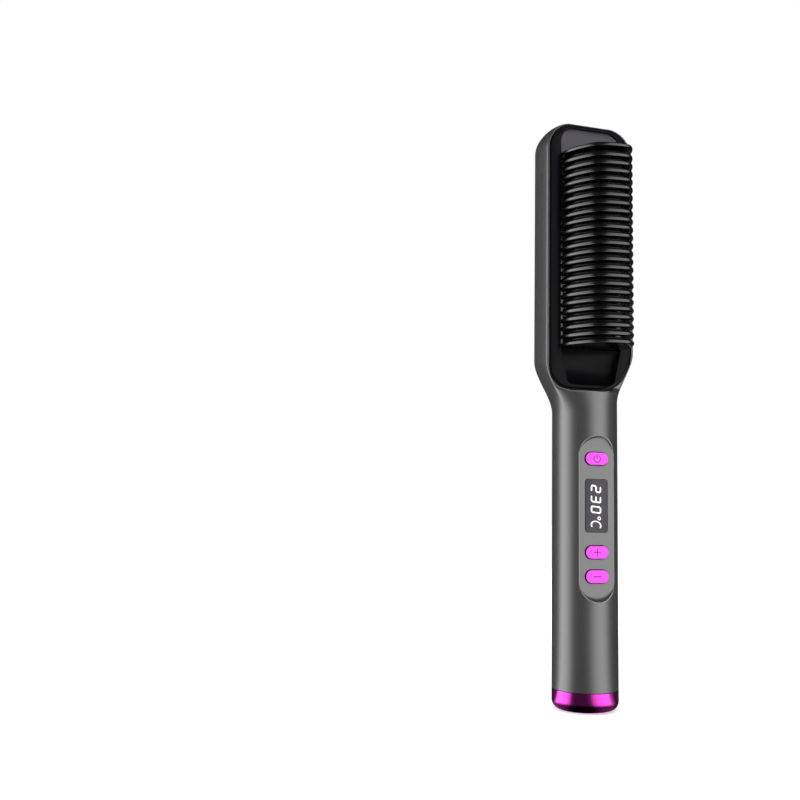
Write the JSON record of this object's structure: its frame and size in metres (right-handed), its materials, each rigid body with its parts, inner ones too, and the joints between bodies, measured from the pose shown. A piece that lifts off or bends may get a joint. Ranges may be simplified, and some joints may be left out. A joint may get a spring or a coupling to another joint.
{
  "type": "heated hair straightening brush",
  "caption": "Handheld heated straightening comb: arched ribs over a finned hot plate on a flat head, round handle with a recessed readout and push buttons.",
  "frame": {"origin": "centre of the cord gland's axis on the end cap's flat underside", "axes": "+Z along the handle towards the head, -Y the side with the comb and buttons, +X to the right seen from that side"},
  "size_m": [0.0468, 0.041, 0.275],
  "materials": {
    "body_grey": "satin metallic paint on moulded plastic",
    "magenta_chrome": "tinted vacuum chrome",
    "panel_grey": "satin",
    "black_gloss": "polished",
    "black_coating": "glazed ceramic coating",
    "button_magenta": "satin",
    "smoked_lens": "polished",
    "white_readout": "lit",
    "black_rubber": "matte",
    "steel": "zinc plated",
    "alumina": "fired",
    "insulating_film": "satin film",
    "plain_aluminium": "mill finish",
    "dark_plastic": "moulded",
    "board_green": "solder mask",
    "terminal_blue": "moulded",
    "capacitor_yellow": "moulded",
    "white_sleeving": "braided glass sleeve"
  },
  "bodies": {
    "brush": {"front_housing": "body_grey", "rear_housing": "body_grey", "end_cap": "magenta_chrome", "rear_trim_frame": "magenta_chrome", "rear_panel": "panel_grey", "comb_bezel": "black_gloss", "comb_guard": "black_gloss", "heating_plate": "black_coating", "display_window": "smoked_lens", "display_readout": "white_readout", "display_module": "white_readout", "gland_retainer": "steel", "housing_screws": "steel", "clamp_screws": "steel", "comb_screws": "steel", "control_board_screws": "steel", "power_board_screws": "steel", "lower_ceramic_heater": "alumina", "upper_ceramic_heater": "alumina", "insulation_sheet": "insulating_film", "heater_clamp_plate": "plain_aluminium", "heat_shield": "plain_aluminium", "thermistor": "alumina", "thermal_fuse": "plain_aluminium", "power_switch": "dark_plastic", "plus_switch": "dark_plastic", "minus_switch": "dark_plastic", "control_board": "board_green", "power_board": "board_green", "board_connector": "dark_plastic", "terminal_block": "terminal_blue", "filter_capacitor": "capacitor_yellow", "smoothing_capacitor": "dark_plastic", "supply_transformer": "dark_plastic", "triac": "dark_plastic", "heater_leads": "white_sleeving", "sensor_leads": "white_sleeving"},
    "power_button_body": {"power_button": "button_magenta", "power_switch_plunger": "dark_plastic"},
    "plus_button_body": {"plus_button": "button_magenta", "plus_switch_plunger": "dark_plastic"},
    "minus_button_body": {"minus_button": "button_magenta", "minus_switch_plunger": "dark_plastic"},
    "cord_gland_body": {"cord_gland": "black_rubber"}
  },
  "joints": [
    {"name": "power_press", "type": "slide", "parent": "brush", "child": "power_button_body", "axis": [0, 1, 0], "range_m": [0, 0.0005], "stiffness_N_per_m": 1600},
    {"name": "plus_press", "type": "slide", "parent": "brush", "child": "plus_button_body", "axis": [0, 1, 0], "range_m": [0, 0.0005], "stiffness_N_per_m": 1600},
    {"name": "minus_press", "type": "slide", "parent": "brush", "child": "minus_button_body", "axis": [0, 1, 0], "range_m": [0, 0.0005], "stiffness_N_per_m": 1600},
    {"name": "cord_swivel", "type": "hinge", "parent": "brush", "child": "cord_gland_body", "pos_m": [0, 0, 0.005], "axis": [0, 0, 1], "continuous": true}
  ]
}
